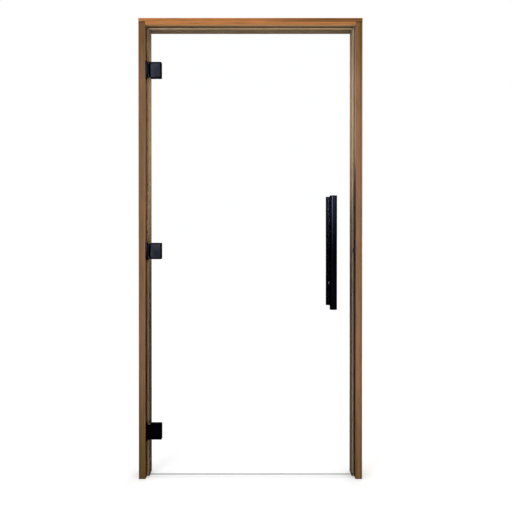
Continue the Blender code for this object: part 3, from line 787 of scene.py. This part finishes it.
SMOOTH_GROUP = smooth_by_angle()
FINISH = {
    # Painted shade: darker on the lower hinges, on the faces that don't face front or back, and
    # along the rim
    "plate": coated_metal(
        "black_coated_hinge", flat=(28, 31, 38), edge=(5, 5, 9), roughness=0.32, peel=0.3,
        fade=HINGE_FADE, foot=0.06, rim=True,
    ),
    # The plates' coating in a darker copy: painted shade where the leaf sits in the rebate
    "leaf": coated_metal(
        "black_coated_leaf_painted_shade", flat=(10, 10, 14), edge=(5, 5, 10), roughness=0.32, peel=0.3,
        fade=HINGE_FADE, foot=0.30,
    ),
    # Reflections that fade towards the foot: painted shade
    "tube": coated_metal(
        "black_coated_tube", flat=(29, 30, 43), edge=(29, 30, 43), roughness=0.23, peel=0.04,
        fade=TUBE_FADE, foot=0.12,
    ),
    # Screw heads, darker lower down and on their sides: painted shade
    "screw": coated_metal(
        "black_screw", flat=(62, 64, 70), edge=(44, 44, 50), roughness=0.30, peel=0.6,
        fade=HINGE_FADE, foot=0.60,
    ),
    "steel": steel(),
    # One seal rubber in three copies, each paler or darker for how light falls on it: painted
    # light and shade
    "hinge_seal": seal_rubber(
        "grey_seal", dark=(182, 161, 138), pale=(208, 186, 162), fade=SEAL_FADE, foot=0.88
    ),
    "latch_seal": seal_rubber(
        "seal_painted_light_latch_side", dark=(226, 203, 180), pale=(240, 220, 200), fade=LATCH_SEAL_FADE, foot=0.46
    ),
    "head_seal": seal_rubber(
        "seal_painted_light_head", dark=(190, 164, 136), pale=(206, 182, 154), fade=SEAL_FADE, foot=1.0
    ),
    "pad": pad_rubber(),
    "catch": matt_black(
        "black_coated_catch", dark=(22, 22, 25), pale=(28, 24, 26), specular=0.02
    ),
    "housing": matt_black("black_nylon", dark=(22, 22, 25), pale=(34, 34, 38), specular=0.10),
    "roller": matt_black(
        "black_nylon_roller", dark=(36, 37, 48), pale=(46, 47, 64), specular=0.10
    ),
    "glass": clear_glass(),
}


def dress(name, material, edge=0.0, steps=2):
    """Gives a CAD node its finish, softened edges and smooth shading."""
    node = NODES[name]
    node.data.materials.clear()
    node.data.materials.append(material)
    weld = node.modifiers.new("weld", "WELD")
    weld.merge_threshold = WELD_DISTANCE
    if edge:
        soften = node.modifiers.new("soften", "BEVEL")
        soften.width = edge
        soften.segments = steps
        soften.limit_method = "ANGLE"
        soften.angle_limit = SHARP_ANGLE
        soften.use_clamp_overlap = True
    shade = node.modifiers.new("shade", "NODES")
    shade.node_group = SMOOTH_GROUP


def screw_rings(radius, height):
    """A screw head's rings from the outside in, each as its steps' (radius, height)."""
    socket = radius * SOCKET_SHARE
    round_rings = [(radius, -SCREW_SUNK)]
    round_rings += [(radius * wide, height * tall) for wide, tall in DOME]
    round_rings += [(socket * SOCKET_RIM, height)]
    rings = [[ring] * SCREW_STEPS for ring in round_rings]
    for share in (SOCKET_LIP, SOCKET_FLOOR):
        hexagon = []
        for step in range(SCREW_STEPS):
            angle = math.tau * step / SCREW_STEPS
            within = (angle + math.pi / 6) % (math.pi / 3) - math.pi / 6
            reach = socket * math.cos(math.pi / 6) / math.cos(within)
            hexagon.append((reach, height * share))
        rings.append(hexagon)
    return rings


def screw_head(shape, place, facing, radius, height):
    """Adds a low domed head with a hexagon socket, sitting on a surface that faces one way."""
    turn = Vector(facing).to_track_quat("Z", "Y").to_matrix()
    loops = []
    for ring in screw_rings(radius, height):
        loop = []
        for step, (reach, lift) in enumerate(ring):
            angle = math.tau * step / SCREW_STEPS
            spot = Vector((math.cos(angle) * reach, math.sin(angle) * reach, lift))
            loop.append(shape.verts.new(Vector(place) + turn @ spot))
        loops.append(loop)
    for first, second in zip(loops, loops[1:]):
        for index, corner in enumerate(first):
            shape.faces.new((first[index - 1], corner, second[index], second[index - 1]))
    shape.faces.new(loops[-1])


def add_screws(name, places, facing, size, body):
    """Makes one piece of the screw heads at these places, riding on a body."""
    shape = bmesh.new()
    for place in places:
        screw_head(shape, place, facing, **size)
    bmesh.ops.recalc_face_normals(shape, faces=shape.faces)
    mesh = bpy.data.meshes.new(name)
    shape.to_mesh(mesh)
    shape.free()
    mesh.materials.append(FINISH["screw"])
    mesh.shade_smooth()
    mesh.set_sharp_from_angle(angle=SHARP_ANGLE)
    piece = bpy.data.objects.new(name, mesh)
    bpy.context.scene.collection.objects.link(piece)
    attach(piece, body)


def hinge_screws(number):
    """Screws in the wall leaf beside the glass, and the two that clamp the plates."""
    low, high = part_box(f"hinge_{number}_wall_leaf")
    middle = (low.z + high.z) / 2
    face_x = low.x + LEAF_FACE_FROM_WALL
    row_y = high.y - LEAF_SCREWS_FROM_BACK
    places = [(face_x, row_y, middle + offset) for offset in LEAF_SCREW_HEIGHTS]
    name = f"hinge_{number}_wall_screws"
    add_screws(name, places, (1, 0, 0), COUNTERSUNK_SCREW, FRAME_BODY)

    low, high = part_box(f"hinge_{number}_inner_plate")
    middle_x = (low.x + high.x) / 2
    middle_z = (low.z + high.z) / 2
    places = [(middle_x, high.y, middle_z + offset) for offset in CLAMP_SCREW_HEIGHTS]
    name = f"hinge_{number}_clamp_screws"
    add_screws(name, places, (0, 1, 0), CLAMP_SCREW, LEAF_BODY)


def catch_screws():
    """The two screws of the catch plate."""
    low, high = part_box("catch_plate")
    middle_y = (low.y + high.y) / 2
    middle_z = (low.z + high.z) / 2
    places = [(low.x, middle_y, middle_z + offset) for offset in CATCH_SCREW_HEIGHTS]
    add_screws("catch_plate_screws", places, (-1, 0, 0), COUNTERSUNK_SCREW, FRAME_BODY)


def head_screws():
    """The screws that hold the head down on the two jambs."""
    places = []
    for across in (LEFT + HEAD_SCREW_FROM_END, RIGHT - HEAD_SCREW_FROM_END):
        for depth in HEAD_SCREW_DEPTHS:
            places.append((across, FRONT + depth, TOP))
    add_screws("head_screws", places, (0, 0, 1), FRAME_SCREW, FRAME_BODY)


def set_camera():
    data = bpy.data.cameras.new("camera")
    data.sensor_width = SENSOR
    data.lens = FOCAL_PIXELS * SENSOR / PICTURE
    data.shift_y = CAMERA_SHIFT_PIXELS / PICTURE
    data.clip_start = CAMERA_NEAR
    data.clip_end = CAMERA_FAR
    camera = bpy.data.objects.new("camera", data)
    bpy.context.scene.collection.objects.link(camera)
    camera.location = (CAMERA_X, FRONT - CAMERA_FROM_FRONT, CAMERA_HEIGHT)
    camera.rotation_euler = (math.pi / 2 - CAMERA_TILT, 0, 0)
    bpy.context.scene.camera = camera


def seen_directly(tree):
    """1 for camera, glossy and transmission rays, which see the white background."""
    rays = tree.nodes.new("ShaderNodeLightPath")
    total = rays.outputs["Is Camera Ray"]
    for name in ("Is Glossy Ray", "Is Transmission Ray"):
        larger = tree.nodes.new("ShaderNodeMath")
        larger.operation = "MAXIMUM"
        tree.links.new(total, larger.inputs[0])
        tree.links.new(rays.outputs[name], larger.inputs[1])
        total = larger.outputs[0]
    return total


def set_world():
    """A plain world: white where it is seen, and a plain level where it lights the door."""
    world = bpy.data.worlds.new("studio")
    world.use_nodes = True
    tree = world.node_tree
    background = tree.nodes["Background"]
    background.inputs["Color"].default_value = (1, 1, 1, 1)
    level = tree.nodes.new("ShaderNodeMapRange")
    level.inputs["To Min"].default_value = WORLD_LEVEL
    level.inputs["To Max"].default_value = 1.0
    tree.links.new(seen_directly(tree), level.inputs["Value"])
    tree.links.new(level.outputs[0], background.inputs["Strength"])
    bpy.context.scene.world = world


def set_floor():
    """A pale floor: white where nothing shades it, with the door's shadow kept."""
    graph = Graph("floor")
    grey = (FLOOR_COLOUR, FLOOR_COLOUR, FLOOR_COLOUR, 1.0)
    graph.set(Base_Color=grey, Roughness=1.0, Specular_IOR_Level=0.0)
    graph.shader.inputs["Emission Color"].default_value = (1, 1, 1, 1)
    x, y, _ = graph.parts(graph.place())
    level = graph.band(
        graph.length(x, y), GLOW_NEAR_REACH, GLOW_FAR_REACH, FLOOR_GLOW_NEAR, FLOOR_GLOW_FAR
    )
    glow = graph.times(seen_directly(graph.tree), level)
    graph.feed(graph.shader.inputs["Emission Strength"], glow)
    shape = bmesh.new()
    bmesh.ops.create_grid(shape, x_segments=1, y_segments=1, size=FLOOR_HALF_SIDE)
    mesh = bpy.data.meshes.new("floor")
    shape.to_mesh(mesh)
    shape.free()
    mesh.materials.append(graph.material)
    floor = bpy.data.objects.new("floor", mesh)
    bpy.context.scene.collection.objects.link(floor)


def add_softbox(name, place, target, size, power):
    """An area lamp that isn't seen itself, nor through the glass."""
    light = bpy.data.lights.new(name, "AREA")
    light.shape = "RECTANGLE"
    light.size, light.size_y = size
    light.energy = power
    lamp = bpy.data.objects.new(name, light)
    lamp.location = place
    aim = Vector(target) - Vector(place)
    lamp.rotation_euler = aim.to_track_quat("-Z", "Y").to_euler()
    lamp.visible_camera = False
    lamp.visible_transmission = False
    bpy.context.scene.collection.objects.link(lamp)
    return lamp


def only_reflected(lamp):
    """Keeps a lamp out of matt light, so that it shows as a reflection and nothing else.

    A ray's diffuse depth is 0 until a matt surface has scattered it.
    """
    lamp.visible_diffuse = False
    lamp.data.use_nodes = True
    tree = lamp.data.node_tree
    rays = tree.nodes.new("ShaderNodeLightPath")
    unscattered = tree.nodes.new("ShaderNodeMath")
    unscattered.operation = "LESS_THAN"
    unscattered.inputs[1].default_value = 0.5
    tree.links.new(rays.outputs["Diffuse Depth"], unscattered.inputs[0])
    tree.links.new(unscattered.outputs[0], tree.nodes["Emission"].inputs["Strength"])


def set_light():
    """Softboxes from the left, right and back, and a card for the metal to reflect."""
    lamps = {name: add_softbox(name, **look) for name, look in SOFTBOXES.items()}
    only_reflected(lamps["card"])


def dress_frame():
    for index, member in enumerate(WOOD):
        dress(member, wood(member, index * SEED_STEP + FIRST_SEED), WOOD_EDGE)
    dress("hinge_side_seal", FINISH["hinge_seal"])
    dress("latch_side_seal", FINISH["latch_seal"])
    dress("head_seal", FINISH["head_seal"])


def dress_hinge(number):
    dress(f"hinge_{number}_wall_leaf", FINISH["leaf"], METAL_EDGE)
    dress(f"hinge_{number}_pin", FINISH["steel"])
    for side in ("outer", "inner"):
        dress(f"hinge_{number}_{side}_plate", FINISH["plate"], METAL_EDGE)
        dress(f"hinge_{number}_{side}_pad", FINISH["pad"], PAD_EDGE, 1)
    hinge_screws(number)


def dress_handle(side):
    dress(f"{side}_handle_tube", FINISH["tube"])
    for end in ("top", "bottom"):
        dress(f"{side}_handle_{end}_cap", FINISH["tube"])
    for end in ("upper", "lower"):
        dress(f"{side}_{end}_standoff", FINISH["tube"])
        dress(f"{side}_{end}_washer", FINISH["pad"], PAD_EDGE, 1)


def dress_leaf():
    dress("glass", FINISH["glass"], GLASS_ARRIS, 1)
    for number in (1, 2, 3):
        dress_hinge(number)
    for side in ("outer", "inner"):
        dress_handle(side)
    for end in ("upper", "lower"):
        dress(f"handle_{end}_stud", FINISH["steel"])


def dress_catch():
    dress("catch_plate", FINISH["catch"], METAL_EDGE)
    dress("catch_housing", FINISH["housing"], HOUSING_EDGE)
    dress("catch_carrier", FINISH["housing"], CARRIER_EDGE)
    dress("catch_roller", FINISH["roller"])
    dress("catch_roller_pin", FINISH["steel"])
    catch_screws()


set_camera()
set_world()
set_floor()
set_light()
dress_frame()
dress_leaf()
dress_catch()
head_screws()
bpy.context.scene.view_settings.view_transform = "Standard"
